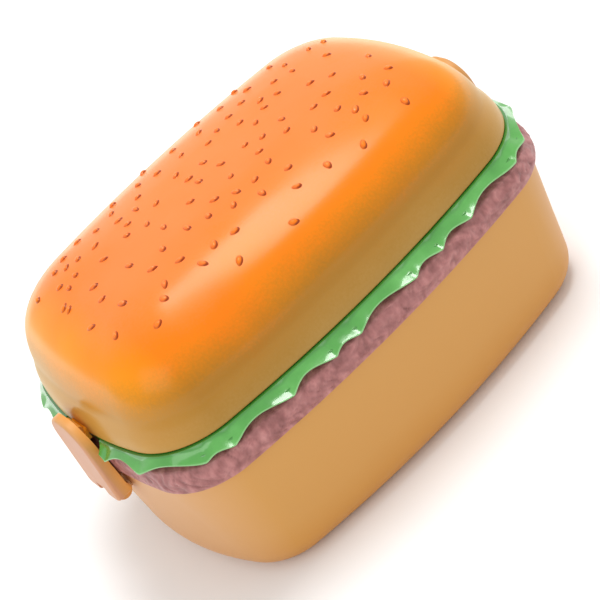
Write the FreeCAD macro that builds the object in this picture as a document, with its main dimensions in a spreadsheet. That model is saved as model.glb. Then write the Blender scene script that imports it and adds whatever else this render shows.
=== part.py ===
"""Burger-shaped stacking lunch box: tub, two trays, domed lid, seals, latch clips and a fork.

Millimetres. The origin is the centre of the base, +X runs along the length towards the right clip,
+Y runs to the back and +Z is up.
"""
import FreeCAD, Part
import math
import os
import re

import Sketcher
from FreeCAD import Placement, Rotation, Vector

DIMENSIONS = {
    # Lid: outline of its lower edge, straight wall and dome
    "lid_half_length": 90.0,
    "lid_half_width": 61.1,
    "lid_corner": 29.8,
    "lid_long_bow": 4.4,
    "lid_short_bow": 3.2,
    "lid_edge_height": 66.8,
    "lid_wall_height": 11.0,
    "lid_draft": 1.85,
    "end_ease": 2.6,
    "end_flatten": 1.0,
    "end_turn": 12.0,
    "end_power": 16.0,
    "dome_height": 28.2,
    "dome_depth": 59.3,
    "dome_power": 0.712,
    "lid_wall": 2.2,
    # Bottom box: outline at the ledge under the patty, and at the base
    "box_half_length": 90.2,
    "box_half_width": 62.9,
    "box_corner": 26.0,
    "base_half_length": 88.3,
    "base_half_width": 62.3,
    "base_corner": 24.5,
    "base_long_bow": 5.9,
    "base_short_bow": 6.8,
    "base_rounding": 12.0,
    "box_wall": 2.4,
    "ledge_height": 51.4,
    "neck_inset": 0.8,
    "neck_height": 58.0,
    # Patty tray
    "patty_low": 51.7,
    "patty_top": 63.2,
    "patty_corner": 27.0,
    "flange_under": 60.2,
    "skirt_gap": 0.3,
    "patty_floor": 31.0,
    "tray_wall": 1.8,
    "tray_draft": 3.6,
    # Lettuce tray
    "lettuce_under": 63.5,
    "lettuce_top": 66.5,
    "frill_root": 1.0,
    "frill_length": 5.4,
    "frill_width": 6.5,
    "frill_low": 61.4,
    "frill_thickness": 1.7,
    "lettuce_floor": 50.2,
    "lettuce_inset": 5.8,
    "lip_gap": 0.6,
    "lip_height": 69.5,
    "notch_half_width": 12.4,
    "notch_end": 89.5,
    "scallop_depth": 1.9,
    # Seals
    "seal_height": 1.2,
    "seal_gap": 0.1,
    # Clips and their hinges
    "pivot_end": 93.6,
    "pivot_height": 40.2,
    "pin_radius": 1.0,
    "pin_length": 11.6,
    "running_gap": 0.06,
    "lug_radius": 2.4,
    "lug_width": 6.2,
    "slot_width": 6.8,
    "slot_top": 44.8,
    "knuckle_radius": 3.1,
    "knuckle_width": 11.6,
    "clip_inner": 92.0,
    "clip_outer": 95.4,
    "clip_belly": 98.0,
    "clip_foot": 41.0,
    "clip_top": 74.8,
    "clip_width": 23.0,
    "catch_width": 10.2,
    "catch_rise": 5.1,
    "catch_drop": 2.4,
    "bead_reach": 1.4,
    # Fork
    "fork_start": -66.0,
    "fork_length": 132.0,
    "fork_handle": 5.5,
    "fork_neck": 3.8,
    "fork_head": 11.0,
    "fork_thickness": 2.6,
    "tine_length": 34.0,
    "tine_gap": 3.0,
}

doc = FreeCAD.newDocument("burger_lunch_box")
sheet = doc.addObject("Spreadsheet::Sheet", "dims")
for row, (alias, number) in enumerate(DIMENSIONS.items(), start=1):
    sheet.set(f"A{row}", alias)
    sheet.set(f"B{row}", str(number))
    sheet.setAlias(f"B{row}", alias)
doc.recompute()


def bound(text):
    """The expression with every dimension's name pointed at its cell."""
    return re.sub(r"[a-z_]+", lambda m: "dims." + m[0] if m[0] in DIMENSIONS else m[0], str(text))


def value(text):
    return float(sheet.evalExpression(bound(text)))


# Sketches

def new_body(label):
    body = doc.addObject("PartDesign::Body", label)
    body.Label = label
    return body


def new_sketch(body, name, plane, height="0"):
    sketch = body.newObject("Sketcher::SketchObject", f"{body.Name}_{name}")
    support = next(f for f in body.Origin.OriginFeatures if f.Role == plane)
    sketch.AttachmentSupport = [(support, "")]
    sketch.MapMode = "FlatFace"
    sketch.setExpression("AttachmentOffset.Base.z", bound(height))
    return sketch


def measure(sketch, kind, geometry, point, text):
    """Fix a point's distance from the origin along one axis, with the sign that the size has."""
    number = value(text)
    if abs(number) < 1e-9:
        axis = -2 if kind == "DistanceX" else -1
        sketch.addConstraint(Sketcher.Constraint("PointOnObject", geometry, point, axis))
    elif number > 0:
        index = sketch.addConstraint(Sketcher.Constraint(kind, -1, 1, geometry, point, number))
        sketch.setExpression(f"Constraints[{index}]", bound(text))
    else:
        index = sketch.addConstraint(Sketcher.Constraint(kind, geometry, point, -1, 1, -number))
        sketch.setExpression(f"Constraints[{index}]", bound(f"-({text})"))


def radius(sketch, geometry, text):
    index = sketch.addConstraint(Sketcher.Constraint("Radius", geometry, value(text)))
    sketch.setExpression(f"Constraints[{index}]", bound(text))


def outline_sketch(body, name, outline, height):
    """A rounded rectangle with four bowed sides, as eight tangent arcs about the origin."""
    length, width, corner, long_bow, short_bow = outline
    long_radius = f"((({length}) - ({corner}))^2 + ({long_bow})^2) / (2 * ({long_bow}))"
    short_radius = f"((({width}) - ({corner}))^2 + ({short_bow})^2) / (2 * ({short_bow}))"
    side_y = f"({width}) - ({long_radius})"
    end_x = f"({length}) - ({short_radius})"
    r, r_long, r_short = value(corner), value(long_radius), value(short_radius)
    side, end = Vector(0, value(side_y), 0), Vector(value(end_x), 0, 0)
    # The corner's centre is r inside both side arcs: two circles about their centres meet there
    reach_side, reach_end = r_long - r, r_short - r
    apart = (end - side).Length
    along = (reach_side ** 2 - reach_end ** 2 + apart ** 2) / (2 * apart)
    across = math.sqrt(reach_side ** 2 - along ** 2)
    forward = (end - side).normalize()
    centre = side + forward * along + Vector(forward.y, -forward.x, 0) * across
    turn_end = math.atan2(centre.y - end.y, centre.x - end.x)
    turn_side = math.atan2(centre.y - side.y, centre.x - side.x)
    full = math.pi
    arcs = [
        (end.x, 0, r_short, -turn_end, turn_end),
        (centre.x, centre.y, r, turn_end, turn_side),
        (0, side.y, r_long, turn_side, full - turn_side),
        (-centre.x, centre.y, r, full - turn_side, full - turn_end),
        (-end.x, 0, r_short, full - turn_end, full + turn_end),
        (-centre.x, -centre.y, r, full + turn_end, full + turn_side),
        (0, -side.y, r_long, full + turn_side, 2 * full - turn_side),
        (centre.x, -centre.y, r, 2 * full - turn_side, 2 * full - turn_end),
    ]
    sketch = new_sketch(body, name, "XY_Plane", height)
    for x, y, size, start, stop in arcs:
        circle = Part.Circle(Vector(x, y, 0), Vector(0, 0, 1), size)
        sketch.addGeometry(Part.ArcOfCircle(circle, start, stop), False)
    for here in range(8):
        sketch.addConstraint(Sketcher.Constraint("Tangent", here, 2, (here + 1) % 8, 1))
    for first, others in ((0, (4,)), (2, (6,)), (1, (3, 5, 7))):
        for other in others:
            sketch.addConstraint(Sketcher.Constraint("Equal", first, other))
    for geometry, axis in ((0, -1), (4, -1), (2, -2), (6, -2)):
        sketch.addConstraint(Sketcher.Constraint("PointOnObject", geometry, 3, axis))
    for geometry, text in ((0, short_radius), (2, long_radius), (1, corner)):
        radius(sketch, geometry, text)
    measure(sketch, "DistanceX", 0, 3, end_x)
    measure(sketch, "DistanceX", 4, 3, f"-({end_x})")
    measure(sketch, "DistanceY", 2, 3, side_y)
    measure(sketch, "DistanceY", 6, 3, f"-({side_y})")
    return sketch


def add_polygon(sketch, points):
    """A closed outline through corners given as pairs of expressions."""
    spots = [Vector(value(x), value(y), 0) for x, y in points]
    first = sketch.GeometryCount
    count = len(points)
    for here, spot in enumerate(spots):
        sketch.addGeometry(Part.LineSegment(spot, spots[(here + 1) % count]), False)
    for here, (x, y) in enumerate(points):
        after = first + (here + 1) % count
        sketch.addConstraint(Sketcher.Constraint("Coincident", first + here, 2, after, 1))
        measure(sketch, "DistanceX", first + here, 1, x)
        measure(sketch, "DistanceY", first + here, 1, y)


def add_circle(sketch, x, y, size):
    circle = Part.Circle(Vector(value(x), value(y), 0), Vector(0, 0, 1), value(size))
    index = sketch.addGeometry(circle, False)
    measure(sketch, "DistanceX", index, 3, x)
    measure(sketch, "DistanceY", index, 3, y)
    radius(sketch, index, size)


# Features

def loft(body, name, outlines, cut=False, ruled=True):
    """A loft through (outline, height) pairs, added to the body or cut out of it."""
    sketches = [
        outline_sketch(body, f"{name}{step}", outline, height)
        for step, (outline, height) in enumerate(outlines)
    ]
    kind = "PartDesign::SubtractiveLoft" if cut else "PartDesign::AdditiveLoft"
    feature = body.newObject(kind, f"{body.Name}_{name}")
    feature.Profile = sketches[0]
    feature.Sections = sketches[1:]
    feature.Ruled = ruled
    doc.recompute()
    return feature


def block(body, name, sketch, depth, cut=False):
    """A pad or pocket of the sketch, half its depth to each side of the sketch's plane."""
    kind = "PartDesign::Pocket" if cut else "PartDesign::Pad"
    feature = body.newObject(kind, f"{body.Name}_{name}")
    feature.Profile = sketch
    feature.SideType = "Symmetric"
    feature.setExpression("Length", bound(depth))
    doc.recompute()
    return feature


def round_edges(body, name, size, chosen):
    """A fillet on every edge of the body for which chosen(edge) is true."""
    base = body.Tip
    edges = [f"Edge{n}" for n, edge in enumerate(base.Shape.Edges, start=1) if chosen(edge)]
    feature = body.newObject("PartDesign::Fillet", f"{body.Name}_{name}")
    feature.Base = (base, edges)
    feature.setExpression("Radius", bound(size))
    doc.recompute()
    return feature


def level(height):
    """Chooses the flat edges at a height."""
    target = value(height)

    def chosen(edge):
        box = edge.BoundBox
        return abs(box.ZMin - target) < 1e-3 and abs(box.ZMax - target) < 1e-3
    return chosen


def grow(outline, length, width=None):
    """The outline moved outwards, by length at the ends and by width at the sides."""
    width = length if width is None else width
    a, b, corner, long_bow, short_bow = outline
    return f"({a}) + ({length})", f"({b}) + ({width})", f"({corner}) + ({length})", long_bow, short_bow


LID = ("lid_half_length", "lid_half_width", "lid_corner", "lid_long_bow", "lid_short_bow")
BOX = ("box_half_length", "box_half_width", "box_corner", "lid_long_bow", "lid_short_bow")
BASE = ("base_half_length", "base_half_width", "base_corner", "base_long_bow", "base_short_bow")
SIDES = {"left": -1, "right": 1}


def at_end(side, text):
    """A distance from the middle, given the sign of that end."""
    return text if side > 0 else f"-({text})"


# Bottom box

def bottom_box():
    body = new_body("bottom_box")
    loft(body, "wall", [(BASE, "0"), (BOX, "ledge_height")])
    neck = grow(BOX, "-neck_inset")
    loft(body, "neck", [(neck, "ledge_height - 1"), (neck, "neck_height")])
    floor = grow(BASE, "-box_wall")
    loft(body, "hollow", [(floor, "box_wall"), (grow(BOX, "-box_wall"), "neck_height")], cut=True)
    round_edges(body, "floor_edge", "base_rounding - box_wall", level("box_wall"))
    round_edges(body, "base_edge", "base_rounding", level("0"))
    lugs = new_sketch(body, "lug_profile", "XZ_Plane")
    knuckles = new_sketch(body, "lug_end_profile", "XZ_Plane")
    bores = new_sketch(body, "bore_profile", "XZ_Plane")
    for side in SIDES.values():
        root, pivot = at_end(side, "box_half_length - 1.6"), at_end(side, "pivot_end")
        add_polygon(lugs, [
            (root, "pivot_height + 5"),
            (pivot, "pivot_height + lug_radius"),
            (pivot, "pivot_height - lug_radius"),
            (root, "pivot_height - lug_radius - 0.2"),
        ])
        add_circle(knuckles, pivot, "pivot_height", "lug_radius")
        add_circle(bores, pivot, "pivot_height", "pin_radius + running_gap")
    block(body, "lugs", lugs, "lug_width")
    block(body, "lug_ends", knuckles, "lug_width")
    block(body, "bores", bores, "lug_width + 2", cut=True)
    return body


# Patty tray and the ring that seals it to the box

# Height, reach beyond the box at the ends and at the sides, and corner radius, from the bottom up
PATTY_BAND = [
    ("patty_low", 1.2, 1.6, "patty_corner"),
    ("patty_low + 2.3", 1.4, 2.5, "patty_corner"),
    ("patty_low + 5.3", 1.4, 2.7, "patty_corner + 1"),
    ("patty_low + 8.7", 1.0, 2.0, "patty_corner + 1.5"),
    ("patty_low + 10.5", -0.5, -0.8, "patty_corner + 6"),
    ("patty_top", -1.4, -1.8, "patty_corner + 6"),
]


def patty_tray():
    body = new_body("patty_tray")
    band = []
    for height, ends, sides, corner in PATTY_BAND:
        length, width = f"box_half_length + ({ends})", f"box_half_width + ({sides})"
        band.append(((length, width, corner, "lid_long_bow", "lid_short_bow"), height))
    loft(body, "band", band)
    skirt = grow(BOX, "skirt_gap - neck_inset")
    loft(body, "channel", [(skirt, "patty_low - 1"), (skirt, "flange_under")], cut=True)
    outer = grow(BOX, "-box_wall - 1.2")
    inner = grow(outer, "-tray_wall")
    basin = [(grow(outer, "-tray_draft"), "patty_floor"), (outer, "flange_under + 1")]
    loft(body, "basin", basin)
    hollow = [(grow(inner, "-tray_draft"), "patty_floor + tray_wall"), (inner, "patty_top")]
    loft(body, "hollow", hollow, cut=True)
    round_edges(body, "floor_edge", "tray_wall * 2", level("patty_floor + tray_wall"))
    round_edges(body, "basin_edge", "tray_wall * 3", level("patty_floor"))
    return body


# Outline of each seal, and its breadth
BOX_SEAL = (grow(BOX, "skirt_gap - neck_inset - 0.2"), "2.6")
LID_SEAL = (grow(LID, "-0.9"), "1.4")
TRAY_SEAL = (grow(LID, "-3.0"), "1.6")


def ring(label, seal, low, high):
    """A flat ring between two parallel outlines."""
    outer, breadth = seal
    inner = grow(outer, f"-({breadth})")
    body = new_body(label)
    loft(body, "outside", [(outer, low), (outer, high)])
    loft(body, "inside", [(inner, low), (inner, high)], cut=True)
    return body


# Lettuce tray

TIPS = 36
SAMPLES = 2000


def frill_outline(height):
    """The outside of the frill, which slopes outwards and down from the flange."""
    fall = f"(lettuce_top - ({height})) / (lettuce_top - frill_low)"
    return grow(LID, f"frill_root + (frill_length - frill_root) * {fall}",
                f"frill_root + (frill_width - frill_root) * {fall}")


def groove(body, name, seal, low, high):
    """A cutter with the outline of a seal, from one height to another."""
    outer, breadth = seal
    inner = grow(outer, f"-({breadth})")
    tool = doc.addObject("Part::Cut", f"{body.Name}_{name}")
    walls = []
    for part, outline in (("outside", outer), ("inside", inner)):
        carrier = new_body(f"{body.Name}_{name}_{part}")
        loft(carrier, "wall", [(outline, low), (outline, high)])
        walls.append(carrier)
    tool.Base, tool.Tool = walls
    doc.recompute()
    return tool


def scallops(wire):
    """Round cutters whose meeting points leave the frill's uneven row of tips."""
    length = wire.Length
    spots = [(k + 0.27 * math.sin(2.3 * k)) * length / TIPS for k in range(TIPS + 1)]
    spots[-1] = spots[0] + length
    samples = wire.discretize(Number=SAMPLES + 1)
    cutters = []
    for k in range(TIPS):
        chord = spots[k + 1] - spots[k]
        depth = value("scallop_depth") * min(1.15, chord * TIPS / length)
        size = ((chord / 2) ** 2 + depth ** 2) / (2 * depth)
        here = int(round((spots[k] + chord / 2) / length * SAMPLES)) % SAMPLES
        along = samples[here + 1] - samples[here - 1 if here else SAMPLES - 1]
        outwards = Vector(along.y, -along.x, 0).normalize()
        cutter = doc.addObject("Part::Cylinder", f"scallop_{k}")
        cutter.Radius = size
        cutter.Height = 16
        start = samples[here] - outwards * 6
        start.z = value("frill_low") + depth - size
        cutter.Placement = Placement(start, Rotation(Vector(0, 0, 1), outwards))
        cutters.append(cutter)
    group = doc.addObject("Part::MultiFuse", "scallop_cutters")
    group.Shapes = cutters
    doc.recompute()
    return group


def lettuce_tray():
    body = new_body("lettuce_tray_plain")
    loft(body, "frill", [(frill_outline(z), z) for z in ("frill_low", "lettuce_top")])
    under = [(grow(frill_outline(z), "-frill_thickness"), z) for z in ("frill_low", "lettuce_under")]
    loft(body, "underside", under, cut=True)
    outer = grow(LID, "-lettuce_inset")
    inner = grow(outer, "-tray_wall")
    basin = [(grow(outer, "-1.2"), "lettuce_floor"), (outer, "lettuce_under + 1")]
    loft(body, "basin", basin)
    lip = grow(LID, "-lid_wall - lip_gap")
    loft(body, "lip", [(lip, "lettuce_top - 1"), (lip, "lip_height")])
    lip_inside = grow(lip, "-1.6")
    loft(body, "lip_hollow", [(lip_inside, "lettuce_top"), (lip_inside, "lip_height")], cut=True)
    hollow = [(grow(inner, "-1.2"), "lettuce_floor + tray_wall"), (inner, "lettuce_top")]
    loft(body, "hollow", hollow, cut=True)
    round_edges(body, "floor_edge", "tray_wall * 2", level("lettuce_floor + tray_wall"))
    round_edges(body, "basin_edge", "tray_wall * 3", level("lettuce_floor"))
    notches = new_sketch(body, "notch_profile", "XZ_Plane")
    for side in SIDES.values():
        near, far = at_end(side, "notch_end"), at_end(side, "notch_end + 12")
        low, high = "frill_low - 2", "lettuce_top + 2"
        add_polygon(notches, [(near, low), (far, low), (far, high), (near, high)])
    block(body, "notches", notches, "2 * notch_half_width", cut=True)
    edge = body.getObject("lettuce_tray_plain_frill0").Shape.Wires[0]
    tools = doc.addObject("Part::MultiFuse", "lettuce_tools")
    tools.Shapes = [
        scallops(edge),
        groove(body, "lid_groove", LID_SEAL, "lettuce_top - seal_height", "lettuce_top + 1"),
        groove(body, "tray_groove", TRAY_SEAL, "lettuce_under - 1", "lettuce_under + seal_height"),
    ]
    tray = doc.addObject("Part::Cut", "lettuce_tray")
    tray.Base, tray.Tool = body, tools
    doc.recompute()
    return tray


# Lid

WALL_STEPS = (0.25, 0.5, 0.75, 1.0)
DOME_STEPS = (12, 24, 36, 48, 60, 71, 80)


def dome_outline(turn, wall):
    """The dome's outline at an angle up its rounded profile, wall inside the outer skin."""
    inset = f"({wall}) + (dome_depth - ({wall})) * (1 - cos({turn})^dome_power) + lid_draft"
    ease = f"cos({turn} - end_turn)^end_power"
    length = f"lid_half_length - ({inset}) - end_ease * {ease}"
    width = f"lid_half_width - ({inset})"
    corner = f"lid_corner - 0.5 * ({inset})"
    return (length, width, corner,
            f"lid_long_bow * ({length}) / lid_half_length",
            f"(lid_short_bow - end_flatten * {ease}) * ({width}) / lid_half_width")


def wall_outline(share, wall):
    """The lid's outline part of the way up its wall, whose ends lean in and flatten."""
    inset = f"(({wall}) + lid_draft * {share}^1.8)"
    ease = f"cos(end_turn)^end_power * {share}^2"
    length = f"lid_half_length - {inset} - end_ease * {ease}"
    short_bow = f"lid_short_bow - end_flatten * {ease}"
    return length, f"lid_half_width - {inset}", f"lid_corner - {inset}", "lid_long_bow", short_bow


def dome_sections(wall):
    spring = "lid_edge_height + lid_wall_height"
    foot = "0" if wall == "0" else "-1"
    rise = f"(dome_height - ({wall}))"
    sections = [(grow(LID, f"-({wall})"), f"lid_edge_height + ({foot})")]
    for share in WALL_STEPS:
        sections.append((wall_outline(share, wall), f"lid_edge_height + lid_wall_height * {share}"))
    sections += [(dome_outline(turn, wall), f"{spring} + {rise} * sin({turn})") for turn in DOME_STEPS]
    return sections


def bun_lid():
    body = new_body("bun_lid")
    loft(body, "skin", dome_sections("0"), ruled=False)
    loft(body, "hollow", dome_sections("lid_wall"), cut=True, ruled=False)
    lugs = new_sketch(body, "catch_profile", "XZ_Plane")
    for side in SIDES.values():
        nose, root = at_end(side, "clip_inner - 0.3"), at_end(side, "lid_half_length - 1.4")
        add_polygon(lugs, [
            (at_end(side, "lid_half_length - 2.4"), "lid_edge_height + catch_rise"),
            (nose, "lid_edge_height + 0.1"),
            (nose, "lid_edge_height - catch_drop"),
            (at_end(side, "notch_end + 0.4"), "lid_edge_height - catch_drop"),
            (at_end(side, "notch_end + 0.4"), "lid_edge_height"),
            (root, "lid_edge_height"),
        ])
    block(body, "catches", lugs, "catch_width")
    return body


# Clips

def clip(name, side):
    body = new_body(f"{name}_clip")
    plate = new_sketch(body, "plate_profile", "XZ_Plane")
    add_polygon(plate, [
        (at_end(side, "clip_inner"), "clip_foot"),
        (at_end(side, "clip_belly"), "clip_foot"),
        (at_end(side, "clip_outer"), "clip_top"),
        (at_end(side, "clip_inner"), "clip_top"),
    ])
    block(body, "plate", plate, "clip_width")
    sides = value("clip_width / 2")

    def corner_at(height):
        target = value(height)

        def chosen(edge):
            box = edge.BoundBox
            flat = abs(box.ZMin - target) < 1e-3 and abs(box.ZMax - target) < 1e-3
            return flat and abs(abs(box.YMin) - sides) < 1e-3 and box.YLength < 1e-3
        return chosen
    round_edges(body, "top_corners", "clip_width / 2 - 1.5", corner_at("clip_top"))
    round_edges(body, "foot_corners", "3", corner_at("clip_foot"))
    outward = [face for face in body.Tip.Shape.Faces if face.normalAt(0, 0).x * side > 0.9]
    outer_face = max(outward, key=lambda face: face.Area)

    def outer_rim(edge):
        return any(edge.isSame(border) for border in outer_face.Edges)
    round_edges(body, "outer_rim", "1.2", outer_rim)
    knuckle = new_sketch(body, "knuckle_profile", "XZ_Plane")
    add_circle(knuckle, at_end(side, "pivot_end"), "pivot_height", "knuckle_radius")
    block(body, "knuckle", knuckle, "knuckle_width")
    web = new_sketch(body, "web_profile", "XZ_Plane")
    add_polygon(web, [
        (at_end(side, "pivot_end - knuckle_radius"), "pivot_height"),
        (at_end(side, "pivot_end + knuckle_radius"), "pivot_height"),
        (at_end(side, "pivot_end + knuckle_radius"), "pivot_height + 4"),
        (at_end(side, "clip_inner"), "pivot_height + 4"),
    ])
    block(body, "web", web, "knuckle_width")
    slot = new_sketch(body, "slot_profile", "XZ_Plane")
    near, far = at_end(side, "pivot_end - 6"), at_end(side, "pivot_end + 6")
    low = "pivot_height - 6"
    add_polygon(slot, [(near, low), (far, low), (far, "slot_top"), (near, "slot_top")])
    block(body, "slot", slot, "slot_width", cut=True)
    bore = new_sketch(body, "bore_profile", "XZ_Plane")
    add_circle(bore, at_end(side, "pivot_end"), "pivot_height", "pin_radius + 0.02")
    block(body, "bore", bore, "knuckle_width + 2", cut=True)
    # The bead lies a gap away from the lug's slope, which falls 5 mm over its reach
    bead = new_sketch(body, "bead_profile", "XZ_Plane")
    add_polygon(bead, [
        (at_end(side, "clip_inner + 0.5"), "lid_edge_height + 0.1"),
        (at_end(side, "clip_inner"), "lid_edge_height + 0.1"),
        (at_end(side, "clip_inner - bead_reach"), "lid_edge_height + 2.45"),
        (at_end(side, "clip_inner - bead_reach"), "lid_edge_height + 3.5"),
        (at_end(side, "clip_inner"), "lid_edge_height + 4.9"),
        (at_end(side, "clip_inner + 0.5"), "lid_edge_height + 4.9"),
    ])
    block(body, "bead", bead, "catch_width - 0.4")
    return body


def clip_pin(name, side):
    pin = doc.addObject("Part::Cylinder", f"{name}_clip_pin")
    pin.Label = f"{name}_clip_pin"
    pin.setExpression("Radius", bound("pin_radius"))
    pin.setExpression("Height", bound("pin_length"))
    start = Vector(side * value("pivot_end"), -value("pin_length / 2"), value("pivot_height"))
    pin.Placement = Placement(start, Rotation(Vector(1, 0, 0), -90))
    return pin


# Fork

def fork():
    body = new_body("fork")
    height = "lettuce_floor + tray_wall + 0.2 + fork_thickness / 2"
    neck_end = "fork_start + fork_length - tine_length - 24"
    head_start = "fork_start + fork_length - tine_length - 8"
    tip = "fork_start + fork_length"
    plan = new_sketch(body, "plan", "XY_Plane", height)
    half = [
        ("fork_start", "fork_handle"),
        (neck_end, "fork_neck"),
        (head_start, "fork_head"),
        (tip, "fork_head - 1"),
    ]
    add_polygon(plan, half + [(x, f"-({y})") for x, y in reversed(half)])
    block(body, "blank", plan, "fork_thickness")
    gaps = new_sketch(body, "gap_plan", "XY_Plane", height)
    pitch = "(fork_head * 2 - tine_gap) / 3"
    for place in (-1, 0, 1):
        low, high = f"{place} * {pitch} - tine_gap / 2", f"{place} * {pitch} + tine_gap / 2"
        root = f"{tip} - tine_length"
        add_polygon(gaps, [(root, low), (f"{tip} + 2", low), (f"{tip} + 2", high), (root, high)])
    block(body, "gaps", gaps, "fork_thickness + 1", cut=True)
    handle_end, tip_end = value("fork_start"), value(tip)

    def upright(edge):
        return edge.BoundBox.XLength < 1e-3 and edge.BoundBox.YLength < 1e-3

    def handle_corner(edge):
        return upright(edge) and abs(edge.BoundBox.XMin - handle_end) < 1e-3

    def tine_corner(edge):
        return upright(edge) and abs(edge.BoundBox.XMin - tip_end) < 1e-3

    def waist_corner(edge):
        place = edge.BoundBox.XMin
        return upright(edge) and handle_end + 1 < place < value(head_start) + 1
    round_edges(body, "handle_end", "fork_handle - 0.2", handle_corner)
    round_edges(body, "tine_ends", "0.9", tine_corner)
    round_edges(body, "waist", "9", waist_corner)
    return body


pieces = [
    bottom_box(),
    patty_tray(),
    ring("box_seal", BOX_SEAL, "neck_height + 2 * seal_gap", "flange_under"),
    lettuce_tray(),
    ring("tray_seal", TRAY_SEAL, "lettuce_under - seal_gap", "lettuce_under + seal_height"),
    ring("lid_seal", LID_SEAL, "lettuce_top - seal_height", "lettuce_top + seal_gap"),
    bun_lid(),
    fork(),
]
for name, side in SIDES.items():
    pieces += [clip(name, side), clip_pin(name, side)]
doc.recompute()

for item in doc.Objects:
    if {"Invalid", "Error"} & set(item.State):
        raise RuntimeError(f"{item.Name} failed: {item.State}")
os.makedirs("parts", exist_ok=True)
for piece in pieces:
    shape = piece.Shape
    if shape.isNull() or not shape.isValid() or len(shape.Solids) != 1:
        raise RuntimeError(f"{piece.Label} is not one valid solid")
    box = shape.BoundBox
    print(f"{piece.Label}: {shape.Volume / 1000:.2f} cm3, x {box.XMin:.1f} to {box.XMax:.1f}, "
          f"y {box.YMin:.1f} to {box.YMax:.1f}, z {box.ZMin:.1f} to {box.ZMax:.1f}")
for piece in pieces:
    piece.Shape.exportStep(f"parts/{piece.Label}.step")
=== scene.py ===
"""Burger-shaped stacking lunch box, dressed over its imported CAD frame.

Shapes are written in millimetres in the frame of the CAD model and stored in metres.
"""
import math
import random

import bpy
from mathutils import Matrix, Vector, noise


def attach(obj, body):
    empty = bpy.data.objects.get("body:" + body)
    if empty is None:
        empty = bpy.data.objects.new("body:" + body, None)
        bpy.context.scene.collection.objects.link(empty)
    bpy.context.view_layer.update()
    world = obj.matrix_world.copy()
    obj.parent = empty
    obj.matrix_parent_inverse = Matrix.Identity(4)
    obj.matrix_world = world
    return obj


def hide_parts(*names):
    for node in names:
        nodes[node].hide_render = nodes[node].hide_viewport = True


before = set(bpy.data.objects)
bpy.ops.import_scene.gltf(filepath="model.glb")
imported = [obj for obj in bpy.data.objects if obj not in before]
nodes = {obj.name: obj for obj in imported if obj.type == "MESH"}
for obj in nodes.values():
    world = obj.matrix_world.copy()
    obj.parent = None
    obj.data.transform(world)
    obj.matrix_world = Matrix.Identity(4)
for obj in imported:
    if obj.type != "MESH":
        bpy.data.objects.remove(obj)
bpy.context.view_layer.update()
scene = bpy.context.scene
MM = 0.001


# Materials

def srgb(red, green, blue):
    """A colour given as it looks on screen, 0 to 255, as linear values."""
    def linear(level):
        level /= 255
        return level / 12.92 if level <= 0.04045 else ((level + 0.055) / 1.055) ** 2.4
    return (linear(red), linear(green), linear(blue), 1)


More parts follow.
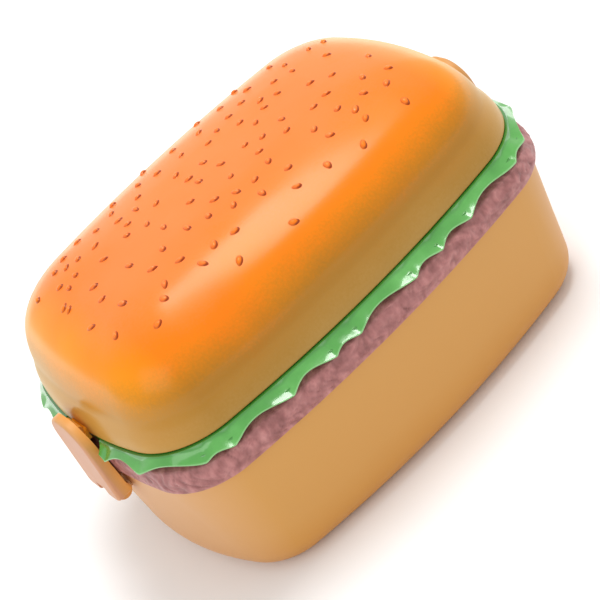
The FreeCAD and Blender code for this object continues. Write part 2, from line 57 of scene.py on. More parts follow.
class Shader:
    """A principled material and short ways to wire nodes into it."""

    def __init__(self, name, roughness, **sockets):
        self.material = bpy.data.materials.new(name)
        self.material.use_nodes = True
        self.tree = self.material.node_tree
        self.main = self.tree.nodes["Principled BSDF"]
        self.main.inputs["Roughness"].default_value = roughness
        for label, number in sockets.items():
            self.main.inputs[label.replace("_", " ")].default_value = number
        self.place = self.add("ShaderNodeTexCoord").outputs["Object"]

    def add(self, kind, **settings):
        node = self.tree.nodes.new(kind)
        for key, setting in settings.items():
            setattr(node, key, setting)
        return node

    def join(self, source, target):
        self.tree.links.new(source, target)

    def axis(self, letter):
        split = self.add("ShaderNodeSeparateXYZ")
        self.join(self.place, split.inputs[0])
        return split.outputs[letter]

    def math(self, operation, first, second=0.0):
        node = self.add("ShaderNodeMath", operation=operation)
        for socket, number in zip(node.inputs, (first, second)):
            if isinstance(number, (int, float)):
                socket.default_value = number
            else:
                self.join(number, socket)
        return node.outputs[0]

    def product(self, *factors):
        result = factors[0]
        for factor in factors[1:]:
            result = self.math("MULTIPLY", result, factor)
        return result

    def shift(self, source, size):
        """A source from 0 to 1 as a shift about zero, of the given size from end to end."""
        return self.product(self.math("SUBTRACT", source, 0.5), size)

    def from_middle(self):
        """Distance from the middle of the box along its length."""
        return self.math("ABSOLUTE", self.axis("X"))

    def noise(self, scale, detail, stretch=(1, 1, 1)):
        mapping = self.add("ShaderNodeMapping")
        mapping.inputs["Scale"].default_value = stretch
        self.join(self.place, mapping.inputs["Vector"])
        texture = self.add("ShaderNodeTexNoise")
        texture.inputs["Scale"].default_value = scale
        texture.inputs["Detail"].default_value = detail
        self.join(mapping.outputs[0], texture.inputs["Vector"])
        return texture.outputs["Fac"]

    def value(self, attribute):
        """A number that the mesh keeps at each point, or 0 where it keeps none."""
        return self.add("ShaderNodeAttribute", attribute_name=attribute).outputs["Fac"]

    def spread(self, source, low, high):
        """The source from low to high as 0 to 1, held at both ends."""
        node = self.add("ShaderNodeMapRange")
        node.inputs["From Min"].default_value = low
        node.inputs["From Max"].default_value = high
        self.join(source, node.inputs["Value"])
        return node.outputs[0]

    def ramp(self, source, stops):
        """Colours given as (position, colour), blended from one to the next."""
        node = self.add("ShaderNodeValToRGB")
        points = node.color_ramp.elements
        while len(points) < len(stops):
            points.new(0.5)
        for point, (position, colour) in zip(points, stops):
            point.position = position
            point.color = colour
        self.join(source, node.inputs[0])
        return node.outputs[0]

    def mix(self, amount, first, second):
        node = self.add("ShaderNodeMix", data_type="RGBA")
        for socket, thing in ((node.inputs[0], amount), (node.inputs[6], first), (node.inputs[7], second)):
            if isinstance(thing, (int, float, tuple)):
                socket.default_value = thing
            else:
                self.join(thing, socket)
        return node.outputs[2]

    def colour(self, source):
        self.join(source, self.main.inputs["Base Color"])

    def bump(self, *layers):
        """Layers of (height, depth in metres, strength), each on top of the one before."""
        before = None
        for height, depth, strength in layers:
            node = self.add("ShaderNodeBump")
            node.inputs["Distance"].default_value = depth
            node.inputs["Strength"].default_value = strength
            self.join(height, node.inputs["Height"])
            if before:
                self.join(before, node.inputs["Normal"])
            before = node.outputs[0]
        self.join(before, self.main.inputs["Normal"])

    def rough(self, source, low, high):
        """Roughness from low to high, as the source goes from 0 to 1."""
        node = self.add("ShaderNodeMapRange")
        node.inputs["To Min"].default_value = low
        node.inputs["To Max"].default_value = high
        self.join(source, node.inputs["Value"])
        self.join(node.outputs[0], self.main.inputs["Roughness"])


# Heights, in metres, between which the lid's and the box's colours change
LID_LOW, LID_HIGH = 0.066, 0.106
BOX_LOW, BOX_HIGH = 0.0, 0.056


def bun_top():
    """Airbrushed plastic: tan wall, saturated orange shoulder and a pinker orange crown, with painted light on the
    end walls and a painted sheen in part of the crown's pink.
    """
    s = Shader("bun_top", 0.34, Specular_IOR_Level=0.2, Specular_Tint=(1, 0.66, 0.3, 1),
               Coat_Weight=0.34, Coat_Roughness=0.2, Coat_Tint=(1, 0.96, 0.3, 1))
    cloud = s.noise(30, 4)
    spray = s.noise(1100, 2)
    uneven = s.math("ADD", s.shift(cloud, 0.3), s.shift(spray, 0.16))
    height = s.math("ADD", s.spread(s.axis("Z"), LID_LOW, LID_HIGH), uneven)
    base = s.ramp(height, [
        (0.0, srgb(178, 136, 76)),
        (0.2, srgb(168, 122, 52)),
        (0.4, srgb(170, 114, 30)),
        (0.53, srgb(196, 120, 16)),
        (0.66, srgb(228, 124, 2)),
        (0.76, srgb(240, 120, 0)),
        (0.88, srgb(244, 118, 6)),
        (1.0, srgb(246, 118, 40)),
    ])
    # Painted light: paler on the walls at both ends; yellower above them, partly the paint's own tone and partly a
    # painted highlight
    out = s.spread(s.from_middle(), 0.064, 0.089)
    above = s.spread(height, 0.3, 0.62)
    below = s.math("SUBTRACT", 1.0, above)
    base = s.mix(s.product(out, below, 0.6), base, srgb(212, 156, 88))
    base = s.mix(s.product(out, above, 0.85), base, srgb(250, 164, 18))
    # Deeper patches of spray on the shoulder; pinker patches on the crown, partly the paint's own tone and partly a
    # painted sheen
    patch = s.spread(s.noise(17, 3), 0.42, 0.68)
    crown = s.spread(height, 0.72, 0.95)
    base = s.mix(s.product(patch, above, 0.45), base, srgb(232, 102, 0))
    base = s.mix(s.product(cloud, crown, 0.75), base, srgb(252, 136, 84))
    # Painted shade: the crease round each moulded seed is darker, more so on one fixed side
    s.colour(s.mix(s.value("seed_shade"), base, srgb(142, 50, 6)))
    s.rough(cloud, 0.26, 0.4)
    s.bump((spray, 0.00006, 0.25), (s.noise(45, 2), 0.002, 0.16))
    return s.material


def catch_bounce_light():
    """Orange plastic painted bright yellow-orange as bounce light between clip and lid, for the lugs that the clips
    hold.
    """
    s = Shader("catch", 0.4, Specular_IOR_Level=0.3)
    cloud = s.noise(160, 3)
    # Painted bounce light: brighter and yellower than the lid's own plastic
    s.colour(s.ramp(cloud, [(0.3, srgb(250, 158, 24)), (0.7, srgb(255, 182, 48))]))
    s.rough(cloud, 0.34, 0.48)
    s.bump((s.noise(1500, 2), 0.00005, 0.25))
    return s.material


def lettuce(name):
    """Glossy green, with painted shade in the crevice under the lid and a painted highlight along the frill's edge.
    """
    s = Shader(name, 0.2, Coat_Weight=0.7, Coat_Roughness=0.07)
    cloud = s.noise(70, 4)
    base = s.ramp(cloud, [
        (0.25, srgb(58, 142, 46)),
        (0.5, srgb(76, 160, 62)),
        (0.75, srgb(98, 180, 84)),
    ])
    # Painted highlight: a paler line along the frill's edge
    base = s.mix(s.product(s.value("edge_highlight"), 0.7), base, srgb(150, 208, 138))
    # Painted shade, darkest in the crevice under the lid and under the frill's edge
    s.colour(s.mix(s.product(s.value("crevice_shade"), 0.6), base, srgb(36, 108, 32)))
    s.rough(cloud, 0.14, 0.26)
    s.bump((s.noise(900, 2), 0.0001, 0.15), (s.noise(150, 2), 0.0009, 0.25))
    return s.material


def patty():
    """Mauve plastic with a fibrous, wrinkled grain, and painted shade in its creases."""
    s = Shader("patty", 0.5, Coat_Weight=0.1, Coat_Roughness=0.35)
    grain = s.noise(330, 5, (1, 1, 0.6))
    cloud = s.noise(60, 3)
    base = s.ramp(grain, [
        (0.28, srgb(136, 78, 75)),
        (0.5, srgb(173, 110, 107)),
        (0.75, srgb(196, 134, 130)),
    ])
    # Painted shade, darker in the creases of the wrinkles
    s.colour(s.mix(s.product(s.value("groove_shade"), 0.6), base, srgb(118, 66, 62)))
    s.rough(cloud, 0.38, 0.58)
    s.bump((s.noise(1300, 3), 0.00015, 0.3), (grain, 0.0008, 0.5))
    return s.material


def bun_bottom():
    """Satin tan, more orange low down, with a painted pinkish reflection at the ends and painted bounce light on the
    lugs that carry the clips.
    """
    s = Shader("bun_bottom", 0.42, Specular_IOR_Level=0.5)
    cloud = s.noise(26, 3)
    base = s.ramp(s.math("ADD", s.spread(s.axis("Z"), BOX_LOW, BOX_HIGH), s.shift(cloud, 0.16)), [
        (0.0, srgb(196, 132, 46)),
        (0.35, srgb(202, 145, 68)),
        (1.0, srgb(204, 148, 72)),
    ])
    out = s.from_middle()
    # Painted reflection: pinker towards both ends
    base = s.mix(s.product(s.spread(out, 0.068, 0.089), 0.6), base, srgb(214, 164, 122))
    # Painted bounce light: bright orange on the lugs that carry the clips
    s.colour(s.mix(s.spread(out, 0.0902, 0.0912), base, srgb(250, 164, 36)))
    s.rough(cloud, 0.4, 0.52)
    s.bump((s.noise(1700, 2), 0.00005, 0.25))
    return s.material


def clip_plastic():
    """Orange-tan, more orange inside as painted bounce light, and paler on the broad outer face as a painted
    reflection.
    """
    s = Shader("clip", 0.42, Specular_IOR_Level=0.4)
    # Painted light by distance out along the length: orange bounce light inside, a pale reflection on the outer face
    out = s.spread(s.from_middle(), 0.0918, 0.0958)
    cloud = s.noise(90, 3)
    base = s.ramp(out, [
        (0.0, srgb(226, 152, 58)),
        (0.5, srgb(214, 152, 78)),
        (0.85, srgb(206, 150, 92)),
        (1.0, srgb(206, 150, 116)),
    ])
    s.colour(s.mix(s.product(s.spread(cloud, 0.35, 0.95), 0.5), base, srgb(204, 142, 76)))
    s.rough(cloud, 0.36, 0.48)
    s.bump((s.noise(1700, 2), 0.00005, 0.25))
    return s.material


def silicone():
    """Translucent white rubber."""
    s = Shader("silicone", 0.42, Subsurface_Weight=0.25, Subsurface_Scale=0.002)
    cloud = s.noise(120, 2)
    s.colour(s.ramp(cloud, [(0.3, srgb(226, 224, 214)), (0.7, srgb(240, 239, 232))]))
    s.rough(cloud, 0.36, 0.5)
    s.bump((s.noise(1400, 2), 0.00004, 0.25))
    return s.material


# Shapes

def bow_radius(half, bow):
    """Radius of a side that is so far out of straight over half its length."""
    return (half ** 2 + bow ** 2) / (2 * bow)


def outline(length, width, corner, long_bow, short_bow, counts):
    """A rounded rectangle with bowed sides, counter-clockwise, as (x, y, outward x, outward y).

    The counts are of points along each end, each corner and each side.
    """
    ends, corners, sides = counts
    r_long, r_short = bow_radius(length - corner, long_bow), bow_radius(width - corner, short_bow)
    side_y, end_x = width - r_long, length - r_short
    apart = math.hypot(end_x, side_y)
    along = ((r_long - corner) ** 2 - (r_short - corner) ** 2 + apart ** 2) / (2 * apart)
    across = math.sqrt((r_long - corner) ** 2 - along ** 2)
    fx, fy = end_x / apart, -side_y / apart
    cx, cy = fx * along + fy * across, side_y + fy * along - fx * across
    t_end, t_side, half = math.atan2(cy, cx - end_x), math.atan2(cy - side_y, cx), math.pi
    arcs = [
        (end_x, 0, r_short, -t_end, t_end, ends),
        (cx, cy, corner, t_end, t_side, corners),
        (0, side_y, r_long, t_side, half - t_side, sides),
        (-cx, cy, corner, half - t_side, half - t_end, corners),
        (-end_x, 0, r_short, half - t_end, half + t_end, ends),
        (-cx, -cy, corner, half + t_end, half + t_side, corners),
        (0, -side_y, r_long, half + t_side, 2 * half - t_side, sides),
        (cx, -cy, corner, 2 * half - t_side, 2 * half - t_end, corners),
    ]
    points = []
    for x, y, size, start, stop, count in arcs:
        for k in range(count):
            turn = start + (stop - start) * k / count
            points.append((x + size * math.cos(turn), y + size * math.sin(turn), math.cos(turn), math.sin(turn)))
    return points


def skin(rings):
    """Quads between rings of equal length, in order."""
    n = len(rings[0])
    vertices = [v for ring in rings for v in ring]
    faces = []
    for j in range(len(rings) - 1):
        for i in range(n):
            k = (i + 1) % n
            faces.append((j * n + i, j * n + k, (j + 1) * n + k, (j + 1) * n + i))
    return vertices, faces


def cap(start, n, ends, up):
    """Faces across a ring, each point joined to its mirror image in Y."""
    faces = []
    for i in range(ends // 2, ends // 2 + n // 2):
        around = [i, i + 1, ends - i - 1, ends - i]
        face = []
        for spot in around:
            if start + spot % n not in face:
                face.append(start + spot % n)
        if len(face) > 2:
            faces.append(tuple(face if up else reversed(face)))
    return faces


def piece(name, vertices, faces, body, material, sharp=38, values=None):
    """A smooth mesh that rides on a body, with sharp edges beyond an angle and numbers kept at its points."""
    mesh = bpy.data.meshes.new(name)
    mesh.from_pydata([[c * MM for c in v] for v in vertices], [], faces)
    mesh.polygons.foreach_set("use_smooth", [True] * len(mesh.polygons))
    mesh.set_sharp_from_angle(angle=math.radians(sharp))
    for label, numbers in (values or {}).items():
        mesh.attributes.new(label, "FLOAT", "POINT").data.foreach_set("value", numbers)
    mesh.materials.append(material)
    obj = bpy.data.objects.new(name, mesh)
    scene.collection.objects.link(obj)
    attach(obj, body)
    return obj


def arc(x, z, size, start, stop):
    """Points on an arc in a profile, angles in degrees."""
    turns = [math.radians(start + (stop - start) * k / ARC_STEPS) for k in range(ARC_STEPS + 1)]
    return [(x + size * math.cos(t), z + size * math.sin(t)) for t in turns]


def running_length(points):
    """Distance along a closed outline to each of its points, and then once round."""
    run = [0.0]
    for here, after in zip(points, points[1:] + points[:1]):
        run.append(run[-1] + math.hypot(after[0] - here[0], after[1] - here[1]))
    return run


ARC_STEPS = 6
# Half length, half width, corner radius, and the bow of the long and the short sides
LID = (90.0, 61.1, 29.8, 4.4, 3.2)
BOX = (90.2, 62.9, 26.0, 4.4, 3.2)
# Radii of the rounded floor of each tray's basin, inside and out
BASIN_INSIDE, BASIN_OUTSIDE = 3.6, 5.4
# The lid's lower edge, the height and lean of its wall, and its thickness
EDGE, WALL_HEIGHT, DRAFT, LID_WALL = 66.8, 11.0, 1.85, 2.2
# The dome's height over the wall, how far in it runs, and the power that rounds its profile
DOME_HEIGHT, DOME_DEPTH, DOME_POWER = 28.2, 59.3, 0.712
# How far the lid's ends draw in and flatten, the turn up the dome where it is most, and how fast it dies away
END_EASE, END_FLATTEN, END_TURN, END_POWER = 2.6, 1.0, math.radians(12), 16

BUN_TOP, LETTUCE, PATTY = bun_top(), lettuce("lettuce"), patty()
BUN_BOTTOM, CLIP, SILICONE, CATCH = bun_bottom(), clip_plastic(), silicone(), catch_bounce_light()


# Lid

LID_COUNTS = (36, 22, 60)


def wall_ring(share, wall):
    """A ring part of the way up the lid's wall, the given thickness inside its skin."""
    inset = wall + DRAFT * share ** 1.8
    a, b, corner, long_bow, short_bow = LID
    ease = math.cos(END_TURN) ** END_POWER * share ** 2
    length, bow = a - inset - END_EASE * ease, short_bow - END_FLATTEN * ease
    points = outline(length, b - inset, corner - inset, long_bow, bow, LID_COUNTS)
    return [(x, y, EDGE + WALL_HEIGHT * share) for x, y, _, _ in points]


def dome_ring(turn, wall):
    """A ring at an angle up the dome's rounded profile, the given thickness inside its skin."""
    turn = math.radians(turn)
    inset = wall + (DOME_DEPTH - wall) * (1 - math.cos(turn) ** DOME_POWER) + DRAFT
    a, b, corner, long_bow, short_bow = LID
    ease = math.cos(turn - END_TURN) ** END_POWER
    length, width = a - inset - END_EASE * ease, b - inset
    bow = (short_bow - END_FLATTEN * ease) * width / b
    points = outline(length, width, corner - 0.5 * inset, long_bow * length / a, bow, LID_COUNTS)
    height = EDGE + WALL_HEIGHT + (DOME_HEIGHT - wall) * math.sin(turn)
    return [(x, y, height) for x, y, _, _ in points]


def rim_ring(inset, rise):
    """A ring round the lid's lower edge."""
    a, b, corner, long_bow, short_bow = LID
    points = outline(a - inset, b - inset, corner - inset, long_bow, short_bow, LID_COUNTS)
    return [(x, y, EDGE + rise) for x, y, _, _ in points]


WALL_SHARES = [0.06, 0.14, 0.25, 0.38, 0.5, 0.62, 0.75, 0.88, 1.0]
DOME_TURNS = [3, 6, 9, 12, 16, 20, 24, 28, 32, 36, 40, 44, 48, 52, 56, 60, 64, 68, 72, 76, 79, 81]
# Inset and rise of the rounded lower edge, from the inside out
RIM = [(LID_WALL, 0.4), (LID_WALL - 0.3, 0), (0.5, 0), (0.12, 0.15), (0, 0.5)]


def lid_side(wall):
    """Rings from the foot of the lid's wall to the crown."""
    return [wall_ring(share, wall) for share in WALL_SHARES] + [dome_ring(turn, wall) for turn in DOME_TURNS]


rings = lid_side(LID_WALL)[::-1] + [rim_ring(*step) for step in RIM] + lid_side(0)
lid_vertices, lid_faces = skin(rings)
around = len(rings[0])
lid_faces += cap(0, around, LID_COUNTS[0], up=False)
lid_faces += cap((len(rings) - 1) * around, around, LID_COUNTS[0], up=True)


# Plan position of each seed, along the length and from front to back
SEEDS = [
    (-70, 27), (-69, -13), (-68, 7), (-68, 3), (-67, -27), (-63, 17), (-62, 11), (-60, 27), (-58, -2), (-58, -21),
    (-57, -38), (-57, 13), (-56, 22), (-54, 29), (-49, -34), (-48, 5), (-46, 31), (-46, -10), (-45, 16), (-45, -30),
    (-43, -21), (-35, -17), (-33, 18), (-33, 11), (-33, -35), (-31, 27), (-29, -8), (-29, 2), (-27, 34), (-26, 15),
    (-25, -18), (-25, -33), (-24, -44), (-22, 21), (-21, 8), (-18, -21), (-17, -35), (-16, 30), (-16, -7), (-12, -17),
    (-10, -26), (-10, 39), (-10, 25), (-8, 5), (-8, 13), (-8, -1), (-5, -22), (-4, -47), (-2, -31), (-1, -13), (0, 7),
    (0, 22), (2, 32), (2, -24), (2, -3), (6, -39), (8, 15), (10, -22), (11, -14), (11, -31), (12, 27), (12, -4),
    (14, 17), (16, 38), (18, -8), (19, -41), (20, 9), (21, 19), (23, -16), (24, 2), (25, 31), (27, -26), (27, -9),
    (28, -33), (29, 20), (30, 6), (31, 11), (32, -44), (35, 36), (35, -17), (36, 26), (37, 7), (39, -26), (40, -38),
    (41, 15), (42, -16), (42, -32), (44, -4), (48, -29), (48, 29), (48, 12), (50, 20), (51, -9), (54, -42), (54, -22),
    (56, -32), (60, 6), (61, 20), (62, -26), (65, -11), (68, 21), (-36, -27), (-52, 19), (-38, 6), (-60, -10),
    (-40, 25),
]


CROWN_RINGS = 12


def seed_spots():
    """Each seed's place on the dome, with the dome's normal there."""
    # A ring each half degree up the dome, and then rings across its flat crown
    dome = [dome_ring(turn / 2, 0) for turn in range(8, 2 * DOME_TURNS[-1] + 1)]
    crown = dome[-1]
    for k in range(CROWN_RINGS - 1, 0, -1):
        dome.append([(x * k / CROWN_RINGS, y * k / CROWN_RINGS, z) for x, y, z in crown])
    spots = []
    for x, y in SEEDS:
        _, j, i = min(
            (math.hypot(v[0] - x, v[1] - y), j, i) for j, ring in enumerate(dome) for i, v in enumerate(ring)
        )
        j = min(j, len(dome) - 2)
        here, beside, above = Vector(dome[j][i]), Vector(dome[j][(i + 1) % around]), Vector(dome[j + 1][i])
        spots.append((here, (beside - here).cross(above - here).normalized()))
    return spots


# The side of each seed on which the painted shade in its crease is darkest
SHADED = Vector((0.62, -0.7, -0.35)).normalized()
SEED_SIDES = 18
# Share of the radius, share of the height, and how dark the painted shade in the crease is there, from the dome up
SEED_STEPS = [
    (1.32, -0.1, 0.75), (1.14, 0.02, 1.0), (1.0, 0.2, 0.9), (0.84, 0.52, 0.35), (0.6, 0.78, 0.06), (0.3, 0.92, 0),
]
SEED_TOP, SEED_POINT = 0.96, 0.16
# Least and most of a seed's half length, half width and height
SEED_SIZES = [(1.35, 1.7), (0.9, 1.1), (0.75, 0.95)]


def seeds():
    """Pointed ovals set at random turns on the dome, with how much painted shade each of their points carries."""
    draw = random.Random(5)
    vertices, faces, seed_shade = [], [], []
    sides, steps = SEED_SIDES, SEED_STEPS
    for here, up in seed_spots():
        side = up.orthogonal().normalized()
        side = Matrix.Rotation(draw.uniform(0, math.tau), 3, up) @ side
        across = up.cross(side)
        long, wide, tall = [draw.uniform(*span) for span in SEED_SIZES]
        first = len(vertices)
        for share, rise, dark in steps:
            for k in range(sides):
                turn = math.tau * k / sides
                point = 1 - SEED_POINT * math.cos(turn)
                forward, sideways = long * share * math.cos(turn), wide * share * point * math.sin(turn)
                spot = here + side * forward + across * sideways
                vertices.append(spot + up * (tall * rise))
                # Painted shade, darker on the shaded side, and there up the seed's own flank as well
                lee = max(0.0, (spot - here).normalized().dot(SHADED))
                seed_shade.append(min(1.0, dark * (0.45 + 0.55 * lee) + 0.45 * lee * (rise < 0.7)))
        vertices.append(here + up * (tall * SEED_TOP))
        seed_shade.append(0)
        for j in range(len(steps) - 1):
            for k in range(sides):
                a, b = first + j * sides + k, first + j * sides + (k + 1) % sides
                faces.append((a, b, b + sides, a + sides))
        last = first + (len(steps) - 1) * sides
        for k in range(sides):
            faces.append((last + k, last + (k + 1) % sides, first + len(steps) * sides))
    return vertices, faces, seed_shade


seed_vertices, seed_faces, seed_shade = seeds()
first = len(lid_vertices)
lid = piece(
    "bun_lid_shell",
    lid_vertices + [tuple(v) for v in seed_vertices],
    lid_faces + [tuple(first + v for v in face) for face in seed_faces],
    "bun_lid", BUN_TOP,
    values={"seed_shade": [0.0] * first + seed_shade},
)
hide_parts("bun_lid")


# Reach and rise of each catch lug's corners from the lid's edge, its half width and its rounding
CATCH_PROFILE = [(87.2, 5.1), (87.7, 5.1), (91.7, 0.1), (91.7, -2.4), (89.9, -2.4), (89.9, 0.05), (88.2, 0.05)]
CATCH_HALF_WIDTH, CATCH_ROUNDING = 5.1, 0.35


def catch(name, side):
    """The lug's profile drawn out across the end of the lid, with rounded edges."""
    profile = [(side * x, EDGE + rise) for x, rise in CATCH_PROFILE]
    n = len(profile)
    vertices = [(x, y, z) for y in (-CATCH_HALF_WIDTH, CATCH_HALF_WIDTH) for x, z in profile]
    faces = [tuple(range(n)), tuple(range(2 * n - 1, n - 1, -1))]
    faces += [(k, k + n, (k + 1) % n + n, (k + 1) % n) for k in range(n)]
    if side > 0:
        faces = [tuple(reversed(face)) for face in faces]
    rounding = piece(name, vertices, faces, "bun_lid", CATCH).modifiers.new("rounding", "BEVEL")
    rounding.width = CATCH_ROUNDING * MM
    rounding.segments = 3


catch("left_catch", -1)
catch("right_catch", 1)


# Lettuce tray

LETTUCE_COUNTS = (120, 46, 190)
# Half width of the notches for the clips, where they end, and how close points stand to their side walls
NOTCH_Y, NOTCH_X, NOTCH_GAP = 12.4, 89.5, 0.04
# How much of a normal lies along the length on the ends of the tray
END_FACING = 0.9
# Heights of the flange's underside and top, of the top of the frill's skirt, and of its lowest tips
UNDER, TOP, SKIRT_TOP, FRILL_LOW = 63.5, 66.5, 66.2, 61.7
TIPS, FRILL_STEPS = 30, 14
# How far tips reach out at the ends and on the sides, and how far the hollows draw in and up
REACH_ENDS, REACH_SIDES, HOLLOW_IN, HOLLOW_UP = 4.9, 5.8, 1.9, 1.8
LETTUCE_BASIN = (-12.4, 55.6)
# Distance out from the lid's outline, and height: from the basin's floor up to the lid's seat
LETTUCE_ABOVE = arc(*LETTUCE_BASIN, BASIN_INSIDE, 270, 360) + [
    (-7.65, 66.2), (-7.5, TOP), (-4.4, TOP), (-4.4, 69.2), (-4.1, 69.5), (-3.1, 69.5), (-2.8, 69.2),
    (-2.8, TOP), (-2.3, TOP), (-2.3, 65.3), (-0.9, 65.3), (-0.9, TOP), (0.4, TOP),
]
# The same, from under the flange down to the basin's underside
LETTUCE_BELOW = [
    (-3.0, UNDER), (-3.0, 64.7), (-4.6, 64.7), (-4.6, UNDER), (-5.8, UNDER),
    *arc(*LETTUCE_BASIN, BASIN_OUTSIDE, 360, 270),
]
# How many of the last points above carry painted shade, in the groove and under the lid
CREVICE = 6


def lettuce_outline():
    """The lid's outline, with points just to each side of the notches' walls, and the distance along it."""
    points = outline(*LID, counts=LETTUCE_COUNTS)
    run = running_length(points)
    a, b, corner, _, short_bow = LID
    r_short = bow_radius(b - corner, short_bow)
    end_x = a - r_short
    for i, (x, y, nx, ny) in enumerate(points):
        after = points[(i + 1) % len(points)]
        if abs(nx) > END_FACING and (abs(y) - NOTCH_Y) * (abs(after[1]) - NOTCH_Y) < 0:
            for place in (i, i + 1):
                here = points[place]
                outer = abs(here[1]) > NOTCH_Y
                level = math.copysign(NOTCH_Y + (NOTCH_GAP if outer else -NOTCH_GAP), here[1])
                turn = math.asin(level / r_short)
                side = math.copysign(1, here[0])
                reach = end_x + r_short * math.cos(turn)
                points[place] = (side * reach, level, side * math.cos(turn), math.sin(turn))
    return points, run


lettuce_points, lettuce_run = lettuce_outline()
total = lettuce_run[-1]
# Tips of the frill, unevenly apart
tip_spots = [(k + 0.27 * math.sin(2.3 * k)) * total / TIPS for k in range(TIPS + 1)]
tip_spots[-1] = tip_spots[0] + total


def scallop(distance):
    """0 at a tip of the frill to 1 between tips, with the hollow nearer the tip before it."""
    distance = (distance - tip_spots[0]) % total + tip_spots[0]
    k = max(i for i in range(TIPS) if tip_spots[i] <= distance)
    chord = tip_spots[k + 1] - tip_spots[k]
    between = math.sin(math.pi * ((distance - tip_spots[k]) / chord) ** 0.8)
    return max(0.0, between) ** 1.4 * min(1.1, chord * TIPS / total)


def lettuce_profile(i):
    """The tray's section at a point of its outline, with how much painted shade and painted highlight each point of
    it carries.
    """
    x, y, nx, ny = lettuce_points[i]
    hollow = scallop(lettuce_run[i])
    wave = noise.noise(Vector((lettuce_run[i] * 0.13, 3.1, 0))) * 0.5
    low = FRILL_LOW + HOLLOW_UP * hollow + 0.5 * wave
    reach = (REACH_ENDS * nx ** 2 + REACH_SIDES * ny ** 2) - HOLLOW_IN * hollow + 0.8 * wave
    profile = list(LETTUCE_ABOVE)
    # Painted shade at each point, and a painted highlight along the frill's edge
    crevice_shade = [0.0] * (len(profile) - CREVICE) + [1.0] * CREVICE
    edge_highlight = [0.0] * len(profile)
    if abs(y) < NOTCH_Y and abs(nx) > END_FACING:
        end, steps = NOTCH_X - abs(x), FRILL_STEPS + 4
        profile[-1] = (end, TOP)
        profile[-2] = (min(-0.9, end), TOP)
        profile += [(end, SKIRT_TOP - (SKIRT_TOP - UNDER) * k / (steps - 1)) for k in range(steps)]
        crevice_shade += [0.2] * steps
        edge_highlight += [0.0] * steps
    else:
        profile.append((0.85, TOP - 0.02))
        crevice_shade.append(0.8)
        edge_highlight.append(0.0)
        for k in range(FRILL_STEPS):
            # The skirt falls first and flares out towards its edge
            share = (k + 0.5) / FRILL_STEPS
            z = SKIRT_TOP - (SKIRT_TOP - 0.4 - low) * share ** (0.62 + 0.4 * hollow)
            profile.append((1.0 + (reach - 1.0) * share ** (1.4 - 0.4 * hollow), z))
            crevice_shade.append(max(0.0, 0.8 - share * 5))
            edge_highlight.append(max(0.0, 12 * share - 11))
        # The frill's edge, with a painted highlight along it and painted shade under it
        profile += [(reach - 0.1, low + 0.1), (reach - 1.1, low + 0.05), (max(-2.0, reach - 2.4), max(UNDER, low))]
        crevice_shade += [0.0, 0.3, 1.0]
        edge_highlight += [1.0, 0.4, 0.0]
    profile += LETTUCE_BELOW
    crevice_shade += [0.2] * len(LETTUCE_BELOW)
    edge_highlight += [0.0] * len(LETTUCE_BELOW)
    return profile, crevice_shade, edge_highlight


def closed(rings, ends):
    """A tray's skin and the floors of its basin, inside and underneath."""
    n = len(rings[0])
    vertices, faces = skin(rings)
    faces = [tuple(reversed(face)) for face in faces]
    return vertices, faces + cap(0, n, ends, up=True) + cap((len(rings) - 1) * n, n, ends, up=False)


def sweep(points, profiles):
    """Rings of a profile carried round an outline: profiles give (outward, z) for each point."""
    rings = []
    for j in range(len(profiles[0])):
        rings.append([(x + nx * p[j][0], y + ny * p[j][0], p[j][1]) for (x, y, nx, ny), p in zip(points, profiles)])
    return rings


shaped = [lettuce_profile(i) for i in range(len(lettuce_points))]
lettuce_rings = sweep(lettuce_points, [profile for profile, _, _ in shaped])
# The notches' end walls are flat
for ring in lettuce_rings:
    for i, (x, y, z) in enumerate(ring):
        if abs(y) < NOTCH_Y and abs(x) > NOTCH_X:
            ring[i] = (math.copysign(NOTCH_X, x), y, z)
vertices, faces = closed(lettuce_rings, LETTUCE_COUNTS[0])
crevice_shade, edge_highlight = ([part[k][j] for j in range(len(lettuce_rings)) for part in shaped] for k in (1, 2))
tray = piece("lettuce_shell", vertices, faces, "lettuce_tray", LETTUCE, values={"crevice_shade": crevice_shade, "edge_highlight": edge_highlight})
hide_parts("lettuce_tray")


# Patty tray

# The band's height, how far it stands out of the box's outline at the ends and on the sides, and its corner radius
BAND = [
    (51.7, 1.2, 1.6, 27), (54.0, 1.4, 2.5, 27), (57.0, 1.4, 2.7, 28), (60.4, 1.0, 2.0, 28.5), (62.2, -0.5, -0.8, 33),
    (63.2, -1.4, -1.8, 33),
]
BAND_LOW, BAND_TOP, BAND_ROWS = BAND[0][0], BAND[-1][0], 34
# The height from which the band's outward swell dies away, and over how much more
CALM_FROM, CALM_OVER = 58.0, 2.5
WRINKLE_DEPTH = 0.6
PATTY_COUNTS = (120, 50, 190)
PATTY_BASIN = (-12.6, 36.4)
# Distance out from the box's outline, and height: from the basin's floor up to the band, and back under it
PATTY_ABOVE = arc(*PATTY_BASIN, BASIN_INSIDE, 270, 360) + [(-5.5, 62.9), (-5.3, BAND_TOP)]
PATTY_BELOW = [(-0.5, BAND_LOW), (-0.5, 60.2), (-3.65, 60.2)] + arc(*PATTY_BASIN, BASIN_OUTSIDE, 360, 270)


def band_at(z):
    """The row of the band at a height, between those that are given."""
    for low, high in zip(BAND, BAND[1:]):
        if z <= high[0]:
            share = (z - low[0]) / (high[0] - low[0])
            return [a + (b - a) * share for a, b in zip(low, high)]
    return list(BAND[-1])


patty_rings, groove_shades = [], []
box_points = outline(*BOX, counts=PATTY_COUNTS)
patty_run = running_length(box_points)


def plain_patty_rings(profile):
    """Smooth rings of the patty tray, with no grooves."""
    for out, z in profile:
        patty_rings.append([(x + nx * out, y + ny * out, z) for x, y, nx, ny in box_points])
        groove_shades.extend([0.0] * len(box_points))


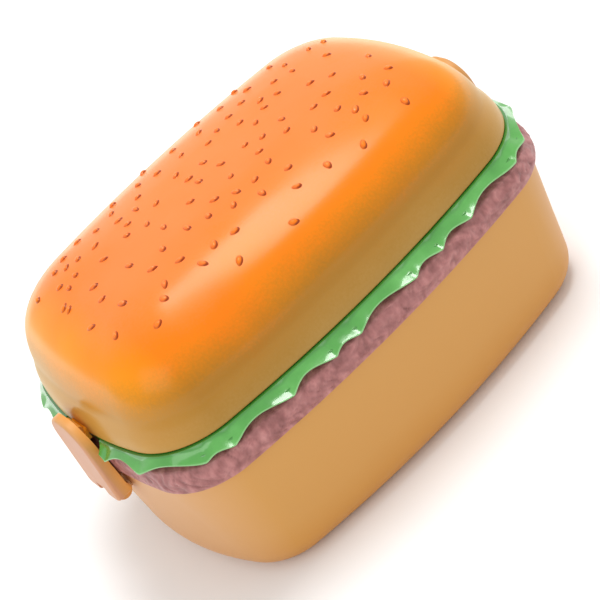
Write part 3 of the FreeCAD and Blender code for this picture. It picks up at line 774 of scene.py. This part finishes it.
def wrinkle(distance, z):
    """Depth of the patty's creases, 0 on a ridge to about 1 in a crease: slanted, mostly upright fibres."""
    bend = noise.noise(Vector((distance * 0.09, z * 0.2, 5.0))) * 5
    slant = distance + 0.55 * z + bend
    broad = abs(noise.noise(Vector((slant * 0.2, z * 0.11, 1.0))))
    fine = abs(noise.noise(Vector((slant * 0.5, z * 0.2, 7.0))))
    return max(0.0, 1 - 4.0 * broad) * 0.55 + max(0.0, 1 - 4.0 * fine) * 0.45


def band_ring(z):
    """A wrinkled ring of the band, smoother towards both of its edges."""
    _, ends, sides, corner = band_at(z)
    a, b, _, long_bow, short_bow = BOX
    fade = min(1, (BAND_TOP - z) / 1.5) * min(1, (z - BAND_LOW) / 1.2 + 0.1)
    calm = max(0.0, min(1.0, (z - CALM_FROM) / CALM_OVER))
    ring = []
    points = outline(a + ends, b + sides, corner, long_bow, short_bow, PATTY_COUNTS)
    for distance, (x, y, nx, ny) in zip(patty_run, points):
        depth = wrinkle(distance, z) * fade
        swell = noise.noise(Vector((x, y, z * 1.6)) * 0.16) * 0.4 * fade
        out = (1 - calm) * (swell + 0.15) + calm * min(swell, 0.0) - WRINKLE_DEPTH * depth
        ring.append((x + nx * out, y + ny * out, z))
        # The crease's depth, kept for its painted shade
        groove_shades.append(min(1.0, depth))
    patty_rings.append(ring)


plain_patty_rings(PATTY_ABOVE)
for k in range(BAND_ROWS):
    band_ring(BAND_TOP - (BAND_TOP - BAND_LOW) * k / (BAND_ROWS - 1))
plain_patty_rings(PATTY_BELOW)
vertices, faces = closed(patty_rings, PATTY_COUNTS[0])
patty_shell = piece("patty_shell", vertices, faces, "patty_tray", PATTY, sharp=60,
                    values={"groove_shade": groove_shades})
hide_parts("patty_tray")


# Pieces kept from the CAD model

FORK = lettuce("fork")
KEPT = {
    "bottom_box": BUN_BOTTOM,
    "box_seal": SILICONE,
    "tray_seal": SILICONE,
    "lid_seal": SILICONE,
    "fork": FORK,
    "left_clip": CLIP,
    "left_clip_pin": BUN_BOTTOM,
    "right_clip": CLIP,
    "right_clip_pin": BUN_BOTTOM,
}
for name, material in KEPT.items():
    for material_slot in nodes[name].material_slots:
        material_slot.material = material


# Floor, lights and camera

FLOOR_HALF = 6.0
# Distances from the middle over which the floor goes to white
WHITE_FROM, WHITE_AT = 0.3, 0.7
SKY_AS_LIGHT, SKY_AS_SEEN = 0.74, 1.0


def seen_ray(tree):
    """1 for a ray from the camera, or one mirrored or let through, and 0 for a ray that only carries light."""
    rays = tree.nodes.new("ShaderNodeLightPath")
    seen = rays.outputs["Is Camera Ray"]
    for kind in ("Is Glossy Ray", "Is Transmission Ray"):
        either = tree.nodes.new("ShaderNodeMath")
        either.operation = "MAXIMUM"
        tree.links.new(seen, either.inputs[0])
        tree.links.new(rays.outputs[kind], either.inputs[1])
        seen = either.outputs[0]
    return seen


corners = [(FLOOR_HALF * x, FLOOR_HALF * y, 0) for x, y in ((-1, -1), (1, -1), (1, 1), (-1, 1))]
floor = bpy.data.objects.new("floor", bpy.data.meshes.new("floor"))
floor.data.from_pydata(corners, [], [(0, 1, 2, 3)])
scene.collection.objects.link(floor)
paper = Shader("paper", 0.9, Specular_IOR_Level=0.1)
paper.colour(paper.ramp(paper.noise(3, 2), [(0.3, srgb(249, 249, 249)), (0.7, srgb(252, 252, 252))]))
# The floor runs out to white where the lights don't reach, as the camera and reflections see it
far = paper.add("ShaderNodeVectorMath", operation="LENGTH")
paper.join(paper.place, far.inputs[0])
fade = paper.product(paper.spread(far.outputs["Value"], WHITE_FROM, WHITE_AT), seen_ray(paper.tree))
paper.join(fade, paper.main.inputs["Emission Strength"])
floor.data.materials.append(paper.material)

world = bpy.data.worlds.new("studio")
scene.world = world
world.use_nodes = True
sky = world.node_tree.nodes["Background"]
sky.inputs["Color"].default_value = (1, 1, 1, 1)
# White where it is seen, softer as a light
level = world.node_tree.nodes.new("ShaderNodeMapRange")
level.inputs["To Min"].default_value = SKY_AS_LIGHT
level.inputs["To Max"].default_value = SKY_AS_SEEN
world.node_tree.links.new(seen_ray(world.node_tree), level.inputs["Value"])
world.node_tree.links.new(level.outputs[0], sky.inputs["Strength"])


def softbox(name, place, target, width, height, power):
    """A rectangular light, in metres and watts, that faces its target."""
    light = bpy.data.lights.new(name, "AREA")
    light.shape = "RECTANGLE"
    light.size = width
    light.size_y = height
    light.energy = power
    obj = bpy.data.objects.new(name, light)
    obj.location = place
    obj.rotation_euler = (Vector(target) - Vector(place)).to_track_quat("-Z", "Y").to_euler()
    scene.collection.objects.link(obj)


softbox("key", (0.3, 0.1, 1.2), (0, 0, 0.09), 0.75, 0.36, 9)
softbox("fill", (-1.0, -0.5, 0.8), (0, 0, 0.05), 0.8, 0.8, 3)

# The photo's camera: where it stands, how it is rolled, and its focal length in the photo's pixels
AZIMUTH, ELEVATION, ROLL = (math.radians(a) for a in (-18.2216, 33.2754, -34.2606))
DISTANCE, FOCUS, TARGET = 0.597574, 1673.319, Vector((-0.0010732, 0, 0.0416686))
PHOTO_SIZE, SENSOR = 600, 36
level_part = math.cos(ELEVATION)
back = Vector((math.sin(AZIMUTH) * level_part, -math.cos(AZIMUTH) * level_part, math.sin(ELEVATION)))
right = Vector((math.cos(AZIMUTH), math.sin(AZIMUTH), 0))
up = back.cross(right)
camera_x = right * math.cos(ROLL) + up * math.sin(ROLL)
camera_y = up * math.cos(ROLL) - right * math.sin(ROLL)
lens = bpy.data.cameras.new("camera")
lens.sensor_width = SENSOR
lens.lens = FOCUS / PHOTO_SIZE * SENSOR
lens.clip_start = 0.01
camera = bpy.data.objects.new("camera", lens)
camera.matrix_world = Matrix((camera_x, camera_y, back)).transposed().to_4x4()
camera.location = TARGET + back * DISTANCE
scene.collection.objects.link(camera)
scene.camera = camera
scene.view_settings.view_transform = "Standard"
